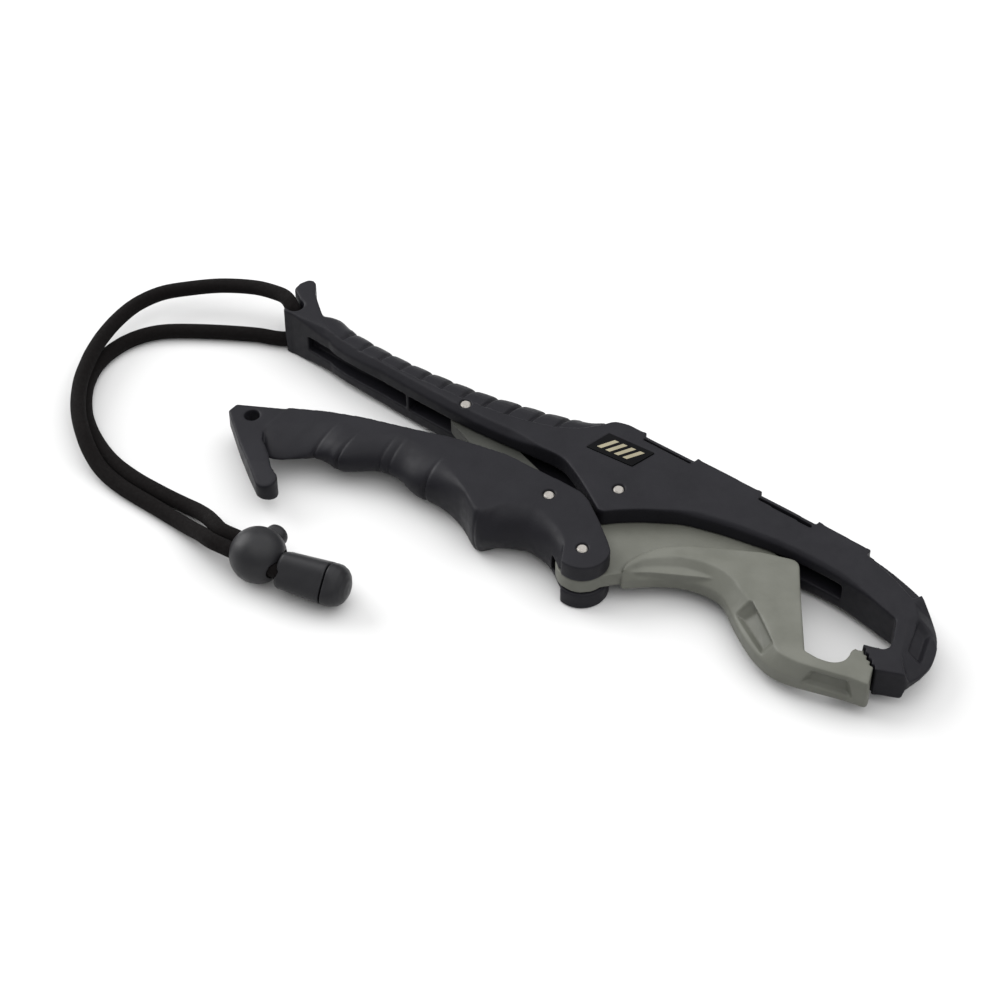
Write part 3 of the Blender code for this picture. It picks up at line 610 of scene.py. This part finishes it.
def frame_outline():
    grip_front = [(-128, 1.0), (-115, 0.2), (-100, -0.8), (-85, -1.6), (-70, -2.0), (-55, -2.0),
                  (-40, -1.0), (-28, 0.2), (-21, 0.4), (-15, -1.9), (-8, -5.7), (-1.6, -9.6)]
    boss = rounded((-8, -5.7), (1.0, -11.2), (10, -3.1), 2.0)
    arch = [(4.6, -7.6), (10, -3.1), (15, 0.3), (20, 3.4), (25, 5.3), (32, 7.3), (40, 9.0), (50, 10.6),
            (59, 11.3), (69, 11.2), (79, 9.9), (86, 8.4)]
    throat = rounded((86, 8.4), (90.4, 7.4), (94.0, -0.8), 1.5)
    hook = smooth_run([(93.6, 0.0), (94.0, -2.0), (93.0, -4.0), (90.6, -5.4), (88.0, -6.2)], 4)
    teeth = tooth_line(TOOTH_START, TOOTH_END, 0.35)
    tip = rounded((96.0, -11.3), (103.6, -8.2), (104.1, 0), 1.6)
    back = smooth_run([(104.9, -3.0), (105.2, 1.6), (104.4, 5.8), (102.9, 9.8), (100.4, 13.8),
                       (96.6, 17.4), (90.4, 20.4), (82.5, 22.9), (76.0, 24.4), (70.5, 25.2)], 4)
    grip_back = smooth_run([(-13.5, 24.4), (-17.8, 22.8), (-20.4, 18.6), (-24.5, 13.8), (-31, 9.8), (-40, 6.6),
                            (-50, 4.5), (-60, 3.1), (-70, 2.2), (-80, 1.5), (-90, 1.1), (-100, 1.1),
                            (-110, 1.9), (-116, 3.9), (-120.7, 7.2), (-125, 10.4), (-128.6, 13.2)], 4)
    horn = rounded((-128.6, 13.2), (-133.6, 19.4), (-136.2, 15.0), 2.2)
    tail = rounded((-135.3, 9.0), (-131.6, 0.6), (-128, 1.0), 1.5)
    return smooth_run(grip_front, 4) + boss + smooth_run(arch, 4) + throat + hook + teeth + tip \
        + back + grip_back + horn + [(-136.1, 14.0), (-135.4, 9.0)] + tail[:-1]


GRIP_EDGE = [(-118, 5.2), (-110, 1.9), (-100, 1.1), (-90, 1.1), (-80, 1.5), (-70, 2.2), (-60, 3.1),
             (-50, 4.5), (-40, 6.6), (-31, 9.8), (-24.5, 13.8), (-20.5, 18.0)]
RIBS = 11
RIB_FIRST = -107.8
RIB_PITCH = 7.72


def grip_rings():
    """The palm side of the grip: pillow-shaped ribs with a narrow groove between each two."""
    edge = smooth_run(GRIP_EDGE, 6)
    bulge = smooth_run([(-122.5, 0.6), (-121, 3.2), (-118, 6.2), (-112, 8.8), (-85, 8.8), (-60, 9.9),
                        (-45, 11.2), (-31, 10.6), (-24.5, 8.6), (-20.5, 6.6)], 6)
    first = RIB_FIRST - RIB_PITCH
    last = RIB_FIRST + RIB_PITCH * (RIBS - 1)
    rings = []
    x = -122.5
    while x < -20.4:
        swell = 1.0
        if RIB_FIRST - 3 < x < last + 3:
            phase = ((x - first) / RIB_PITCH) % 1.0
            dip = min(phase, 1 - phase) * RIB_PITCH
            swell = 1.0 + 0.04 * math.sin(math.pi * phase) - 0.24 * math.exp(-(dip / 0.6) ** 2)
        e = value_at(edge, x)
        top = MID - 0.4
        half = top * (0.5 + min(swell, 1.0) / 2)
        rings.append(section(x, e - 2.5, e, e + value_at(bulge, x) * swell, half, 2.15))
        x += 0.22
    return rings


def sunk(name, corners, depth):
    """A tapered pocket tool: four corners on a facet, pushed outwards and inwards along its normal."""
    quad = [Vector(c) for c in corners]
    normal = (quad[2] - quad[0]).cross(quad[3] - quad[1]).normalized()
    centre = sum(quad, Vector()) / 4
    out = [tuple(centre + (q - centre) * 1.12 + normal * 1.5) for q in quad]
    level = [tuple(q) for q in quad]
    deep = [tuple(centre + (q - centre) * 0.72 - normal * depth) for q in quad]
    return loft(name, [out, level, deep])


def badge_outline(grow):
    corners = [(-17.8, 8.6), (-2.4, 10.0), (-0.2, 18.6), (-15.8, 17.4)]
    centre = Vector((-9.05, 13.65))
    out = []
    for corner in corners:
        arm = Vector(corner) - centre
        out.append(tuple(centre + arm * (1 + grow * 1.5 / arm.length)))
    return out


def build_frame():
    frame_obj = plate("frame_body", frame_outline(), 0, THICK)
    combine(frame_obj, side_block("thickness", FRAME_HALVES, -40, 45), "INTERSECT")
    combine(frame_obj, loft("ribs", grip_rings()), "UNION")
    low = MID - SLOT_HALF
    high = MID + SLOT_HALF
    tail_pocket = [(-121.5, -20), (-79.6, -20), (-79.6, 4.3), (-100, 3.2), (-121.5, 3.6)]
    channel = [(-78.4, -20), (70.5, -20), (70.5, 16.5), (60, 18.5), (-8, 18.5), (-20, 14.5),
               (-40, 9.6), (-60, 7.6), (-78.4, 5.0)]
    combine(frame_obj, plate("tail_pocket", tail_pocket, low, high), "DIFFERENCE")
    combine(frame_obj, plate("channel", channel, low, high), "DIFFERENCE")
    front = [(-128, 1.0), (-115, 0.2), (-100, -0.8), (-85, -1.6), (-70, -2.0), (-55, -2.0),
             (-40, -1.0), (-26, 0.3)]
    arch = [(12, -1.7), (15, 0.3), (20, 3.4), (25, 5.3), (32, 7.3), (40, 9.0), (50, 10.6),
            (59, 11.3), (69, 11.2), (79, 9.9), (85, 8.6)]
    for side in (1, -1):
        for line, size in [(front, 2.1), (arch, 1.3)]:
            rings = []
            run = smooth_run(line, 3)
            for x, y in run:
                top = value_at(FRAME_HALVES, x)
                fade = min(1.0, (x - run[0][0]) / 12, (run[-1][0] - x) / 12)
                cut = size * (0.08 + 0.92 * fade)
                rings.append([(x, y - 1, MID + side * (top - cut - 1)), (x, y + cut + 3, MID + side * (top + 3)),
                              (x, y - 1, MID + side * (top + 3))])
            combine(frame_obj, loft("front_bevel", rings), "DIFFERENCE")
    for left, right in [(-6.8, 11.4), (34.3, 53.6)]:
        for side in (1, -1):
            cuts = [(23.5, 30, 3.1, 0.0), (22.4, 24, 0.5, 0.0), (21.3, 22.5, 4.5, 0.5)]
            for near_y, far_y, depth, end in cuts:
                strip = [(left + end, near_y), (right - end, near_y), (right - end, far_y), (left + end, far_y)]
                span = sorted((MID + side * (MID - depth), MID + side * (MID + 3)))
                combine(frame_obj, plate("relief", strip, *span), "DIFFERENCE")
    for a, b in [(13.0, 20), (-3, THICK - 13.0)]:
        step = [(71.3, 30), (71.3, 23.2), (72.0, 22.6), (78, 21.4), (84, 19.6), (90, 17.2), (96, 30)]
        combine(frame_obj, plate("nose_step", step, a, b), "DIFFERENCE")
    bevel = [(20.5, 92.4, 90.6), (16.5, 98.0, 91.6), (9, 103.4, 93.8), (2.4, 105.4, 96.2), (-2.2, 105.2, 97.6),
             (-8.6, 104.6, 102.6), (-11, 104.8, 104.8)]
    for side in (1, -1):
        rings = []
        for y, out, top in bevel:
            far = out + (top - out) * 8.7 / 4.7
            near_z = MID + side * 0.55
            far_z = MID + side * 9.25
            rings.append([(out, y, near_z), (out + 8, y, near_z), (out + 8, y, far_z), (far, y, far_z)])
        combine(frame_obj, loft("nose_bevel", rings), "DIFFERENCE")
    nose_facet = [(103.2, 0, 10.5), (99.6, 12.0, 10.5), (95.0, 12.0, 13.0), (98.6, 0, 13.0)]
    combine(frame_obj, sunk("nose_pocket", nose_facet, 1.6), "DIFFERENCE")
    for centre in [PINS["jaw_pivot_pin"], PINS["link_frame_pin"]]:
        bore_for_pin(frame_obj, centre, ringed=True)
    combine(frame_obj, cylinder("tail_hole", 2.9, (-130.3, 5.0), -5, 25), "DIFFERENCE")
    top_way = [(-130.3, 2.3), (-130.3, 7.8), (-133.0, 9.4), (-136.5, 11.4), (-146, 17), (-146, 2.2)]
    low_way = [(-130.3, 7.7), (-130.3, 2.0), (-133.0, 0.2), (-136.5, -1.9), (-146, -8), (-146, 8)]
    combine(frame_obj, plate("notch_top", top_way, THICK - 5.6, 30), "DIFFERENCE")
    combine(frame_obj, plate("notch_low", low_way, -10, 5.6), "DIFFERENCE")
    combine(frame_obj, plate("badge_seat", badge_outline(0.3), THICK - 0.5, 30), "DIFFERENCE")
    crisp = [(*PINS["jaw_pivot_pin"], 3.2), (*PINS["link_frame_pin"], 3.2), (91.5, -9.5, 5.0),
             (-9.05, 13.65, 10.5)]
    grooves = [(-110 + k * 5, 12 + 0.002 * (k * 5 - 40) ** 2, 8.0) for k in range(17)]

    def weight(x, y, z):
        if near_any(x, y, crisp) or y > 20.4 and (-8 < x < 12.6 or 33 < x < 55 or 70 < x < 73):
            return 0.1
        if abs(z - MID) < 4.6 and y < 9.5 or near_any(x, y, grooves) and y > value_at(GRIP_EDGE, x) - 0.5:
            return 0.07 if y > 5 else 0.22
        return 1.0

    soften(frame_obj, 26, weight)
    return dress(frame_obj, BLACK, "frame", "black_plastic", "frame")


# ---------------------------------------------------------------- jaw
JAW_HALVES = [(-20, 3.6), (17, 4.0), (28, 4.6), (42, 5.25), (110, 5.25)]


# how far the top edge of the outer side is set in, by x
JAW_BEVEL = [(17, 0.5), (19, 2.4), (23, 4.6), (31, 5.3), (38.5, 4.6), (43, 4.0), (47, 4.2), (52, 5.6), (56, 6.5),
             (62, 5.6), (66, 3.8), (70, 2.4), (76, 1.7), (82, 1.2), (92, 1.0), (98, 0.6)]


def jaw_rings():
    """Rings of the thick part of the jaw; its outer side is bevelled above the middle plane."""
    inner = [(17.0, -20.8), (16.9, -18.2), (18.4, -13.4), (21.2, -8.7), (25.8, -4.4), (32.5, -0.2),
             (40, 3.6), (46, 7.0)]
    brow = rounded((46, 7.0), (56.4, 10.6), (63.4, 0.2), 3.0)
    heel = rounded((63.4, 0.2), (76.0, -17.6), (81, -17.8), 1.2)
    palate = smooth_run([(80.4, -17.7), (84.0, -16.7), (86.1, -14.7), (86.8, -12.2), (86.3, -10.2)], 4)
    spike = [(86.7, -8.3), (87.5, -8.6)]
    teeth = tooth_line(TOOTH_START, TOOTH_END, -0.35)[1:]
    outer = smooth_run([(91.0, -19.6), (84.0, -21.8), (77.0, -24.0), (71.0, -24.9), (66.5, -24.1),
                        (62.0, -22.4), (57.0, -19.6), (52.0, -16.3), (47.5, -12.9), (44.0, -10.8),
                        (40.0, -10.3), (35.0, -11.2), (30.0, -13.4), (25.0, -17.0), (21.5, -20.2)], 4)
    tip = rounded((95.6, -12.6), (97.4, -18.2), (92, -19.4), 1.2)
    end = rounded((21.5, -20.2), (17.3, -24.2), (17.0, -20.8), 0.8)
    fixed = smooth_run(inner, 4) + brow + [(63.4, 0.2)] + heel + palate + spike + teeth
    turning = tip + outer + end
    line = fixed + turning
    count = len(line)
    rings = []
    levels = [(-1.0, 0.0, 1.3), (-0.75, 0.0, 0.0), (0.0, 0.0, 0.0), (0.06, 0.05, 0.0), (1.0, 1.0, 0.0)]
    for level, share, foot in levels:
        ring = []
        for k, (x, y) in enumerate(line):
            before = Vector(line[k - 1])
            after = Vector(line[(k + 1) % count])
            tangent = (after - before).normalized()
            inward = Vector((tangent.y, -tangent.x))
            inset = 0.0
            if k >= len(fixed):
                inset = share * value_at(JAW_BEVEL, x) + foot
            px, py = Vector((x, y)) + inward * inset
            ring.append((px, py, MID + level * value_at(JAW_HALVES, px)))
        rings.append(ring)
    return rings


def tongue_outline():
    px, py = PINS["jaw_handle_pin"]
    eye = [(px + 7.6 * math.cos(a), py + 7.6 * math.sin(a))
           for a in [math.radians(d) for d in range(-190, -9, 6)]]
    root = [(18, -21.5), (24, -17.0), (36, -10.0), (48, -4.0), (54.0, 4.0), (53.0, 10.0)]
    top = [(46, 11.6), (35, 10.4), (22, 9.0), (10, 8.8)]
    boss = [(8.8 * math.cos(a), 8.8 * math.sin(a)) for a in [math.radians(d) for d in range(80, 181, 5)]]
    return eye + root + top + boss + [(-6.4, -12)]


def build_jaw():
    jaw = loft("jaw_body", jaw_rings())
    soften(jaw, 6, lambda x, y, z: 0.1 if near_any(x, y, [(91.5, -10.5, 5.5)]) else 1.0)
    combine(jaw, plate("tongue", tongue_outline(), MID - 2.45, MID + 2.45), "UNION")
    pocket_a = [(51.4, -14.8, 9.6), (65.6, -23.0, 9.6), (67.6, -20.4, 13.2), (54.6, -10.8, 13.2)]
    pocket_b = [(78.6, -23.4, 7.4), (93.0, -18.8, 6.6), (91.4, -18.9, 12.4), (80.6, -22.2, 12.6)]
    combine(jaw, sunk("pocket_a", pocket_a, 1.9), "DIFFERENCE")
    combine(jaw, sunk("pocket_b", pocket_b, 1.7), "DIFFERENCE")
    for centre in [PINS["jaw_pivot_pin"], PINS["jaw_handle_pin"]]:
        bore_for_pin(jaw, centre)
    soften(jaw, 7, lambda x, y, z: 0.1 if near_any(x, y, [(91.5, -10.5, 5.5)]) else 1.0)
    return dress(jaw, GREY, "jaw", "grey_plastic", "jaw")


# ---------------------------------------------------------------- handle
HANDLE_HALVES = [(-118, 3.5), (-105, 3.5), (-35, MID), (30, MID)]
HANDLE_BACK = [(-106, -29.6), (-93, -23.3), (-81.7, -19.2), (-66.5, -15.2), (-53, -11.4), (-45, -10.0),
               (-35, -8.5), (-25, -8.1), (-15, -7.7), (-8, -7.8), (-4, -9.3), (-1.5, -11.0)]
# rows at the ridges, the grooves and the turns between them:
# x, where the flat top ends, where the rounded side ends, squareness of the rounding
FINGERS = [
    (-104, -38.5, -42.5, 2.0),
    (-100, -35.5, -45.0, 1.7),
    (-97, -32.0, -46.5, 1.5),
    (-94, -29.5, -45.5, 1.45),
    (-91, -27.0, -43.0, 1.45),
    (-86, -25.0, -38.0, 1.8),
    (-82, -25.5, -36.5, 2.4),
    (-77, -24.0, -36.5, 2.4),
    (-69, -20.0, -30.5, 1.9),
    (-61, -19.0, -29.0, 1.75),
    (-53, -19.0, -30.5, 2.2),
    (-45, -22.5, -29.0, 2.1),
    (-36, -27.5, -30.0, 1.9),
    (-28, -31.5, -34.5, 2.0),
    (-25, -29.0, -35.0, 1.75),
    (-23, -25.5, -34.0, 1.6),
    (-20, -23.0, -31.5, 1.7),
    (-17, -21.5, -29.5, 1.8),
    (-13, -20.5, -28.0, 1.8),
    (-5, -23.0, -28.5, 1.9),
    (2.4, -27.6, -33.0, 2.0),
]
CREASES = [(-86.6, 0.10), (-78.5, 0.12), (-67.7, 0.10), (-64.6, 0.10), (-50.0, 0.12), (-27.0, 0.10)]


def handle_rings():
    """The handle's grip, with a scoop in its rounded side for each finger."""
    side = smooth_run(FINGERS, 16)
    rings = []
    for x, flat, low, power in side:
        back = value_at(HANDLE_BACK, x) if x < -1.5 else -14.0
        half = value_at(HANDLE_HALVES, x)
        ring = section(x, back, min(flat, back - 0.5), min(low, flat - 1.0), half, power, 32)
        cut = sum(depth * math.exp(-((x - at) / 0.42) ** 2) for at, depth in CREASES)
        if cut > 0.001:
            shares = [max(0.0, min(1.0, (flat - py) / (flat - low))) for _, py, _ in ring]
            ring = [(px, py + (flat - py) * cut * share, MID + (pz - MID) * (1 - cut * share))
                    for (px, py, pz), share in zip(ring, shares)]
        rings.append(ring)
    return rings


def fork_outline():
    px, py = PINS["jaw_handle_pin"]
    nose = [(px + 8.2 * math.cos(a), py + 8.2 * math.sin(a))
            for a in [math.radians(d) for d in range(30, -103, -6)]]
    top = [(-14, -7.8), (-8, -7.9), (-4, -9.4), (-0.6, -11.6), (3.4, -14.3), (7.2, -17.2), (10.4, -19.6)]
    return smooth_run(top, 4) + nose + [(-1.5, -24.5), (-8.0, -21.5), (-14, -20.5)]


def tail_outline():
    corner = rounded((-104, -28.6), (-120.8, -38.8), (-105.6, -49.6), 2.6)
    lobe = [(-89.2 + 3.4 * math.cos(a), -56.0 + 3.4 * math.sin(a))
            for a in [math.radians(d) for d in range(-130, 61, 8)]]
    return [(-98, -25.6)] + corner + [(-105.6, -49.6)] + lobe \
        + [(-90.5, -52.0), (-95.5, -47.8), (-101.0, -44.2), (-103.6, -40.8), (-103.8, -32.0)]


def build_handle():
    handle = loft("handle_body", handle_rings())
    combine(handle, plate("fork", fork_outline(), 0.05, THICK - 0.05), "UNION")
    tail = plate("tail_plate", tail_outline(), 0, THICK)
    thinner = [(x, half - 0.1) for x, half in HANDLE_HALVES]
    combine(tail, side_block("thickness", thinner, -75, 0), "INTERSECT")
    taper = [(-28, 9.0), (-45, 5.2), (-51, 4.4), (-56, 3.6), (-61, 2.4)]
    wedge = loft("hook_taper", [[(-125, y, MID - h), (-80, y, MID - h), (-80, y, MID + h), (-125, y, MID + h)]
                                for y, h in taper])
    combine(tail, wedge, "INTERSECT")
    combine(handle, tail, "UNION")
    fork_slot = [(-47.5, 5), (-47.5, -13.0), (-42, -16.5), (-30, -20.5), (-22, -24.5), (-12, -23.2), (-4, -24.0),
                 (-2.5, -27), (-2.5, -45), (40, -45), (40, 5)]
    combine(handle, plate("fork_slot", fork_slot, MID - SLOT_HALF, MID + SLOT_HALF), "DIFFERENCE")
    for centre in [PINS["jaw_handle_pin"], PINS["handle_link_pin"]]:
        bore_for_pin(handle, centre, ringed=True)
    combine(handle, cylinder("hook_hole", 2.35, (-110.8, -37.9), -5, 25), "DIFFERENCE")
    crisp = [(*PINS["jaw_handle_pin"], 3.2), (*PINS["handle_link_pin"], 3.2)]

    def weight(x, y, z):
        if near_any(x, y, crisp):
            return 0.1
        if x > -30 and y > value_at(HANDLE_BACK, x) - 9 or x > -4 or x < -103 or y < -47:
            return 1.0
        return 0.35

    soften(handle, 16, weight)
    return dress(handle, BLACK, "handle", "black_plastic", "handle")


def build_pins():
    """Chamfered steel pins, a little below the surface."""
    for name, centre in PINS.items():
        bm = bmesh.new()
        rings = []
        profile = [(PIN_R - 0.35, 0.3), (PIN_R, 0.6), (PIN_R, THICK - 0.6), (PIN_R - 0.35, THICK - 0.3)]
        for r, z in profile:
            turns = [2 * math.pi * k / 48 for k in range(48)]
            rings.append([bm.verts.new(place(centre[0] + r * math.cos(a), centre[1] + r * math.sin(a), z))
                          for a in turns])
        for a, b in zip(rings, rings[1:]):
            for k in range(48):
                n = (k + 1) % 48
                bm.faces.new((a[k], a[n], b[n], b[k]))
        bm.faces.new(rings[0])
        bm.faces.new(rings[-1])
        pin = mesh_object(name + "_steel", bm)
        pin.data.shade_smooth()
        pin.data.set_sharp_from_angle(angle=math.radians(30))
        body = "handle" if name in ("jaw_handle_pin", "handle_link_pin") else "frame"
        dress(pin, STEEL, body, "pin_steel", name)


def build_badge():
    """A black film badge with four equal slanted stripes, slightly raised."""
    film = plate("badge_film", badge_outline(0), THICK - 0.45, THICK + 0.02)
    dress(film, FILM, "frame", "badge_film", "badge")
    a, b, c, d = [Vector(p) for p in badge_outline(0)]

    def at(u, v):
        return tuple(a.lerp(b, u).lerp(d.lerp(c, u), v))

    for k in range(4):
        u = 0.12 + 0.19 * k
        stripe = [at(u, 0.2), at(u + 0.1, 0.2), at(u + 0.2, 0.8), at(u + 0.1, 0.8)]
        mark = plate(f"badge_stripe_{k + 1}", stripe, THICK - 0.05, THICK + 0.05)
        dress(mark, STRIPE, "frame", "badge_film")


STRIPE = plastic("badge_stripe", (0.21, 0.19, 0.13), (0.26, 0.235, 0.165), 0.4, 0.5,
                 grain=0.000004, specular=0.1)
FILM = plastic("badge_black", (0.003, 0.003, 0.0035), (0.0045, 0.0045, 0.005), 0.4, 0.5,
               grain=0.000004, specular=0.03)

build_frame()
build_jaw()
build_handle()
build_pins()
build_badge()
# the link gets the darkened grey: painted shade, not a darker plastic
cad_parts["toggle_link"].data.materials[0] = LINK_GREY_PAINTED_SHADE
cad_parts["cord_lock_spring"].data.materials[0] = STEEL
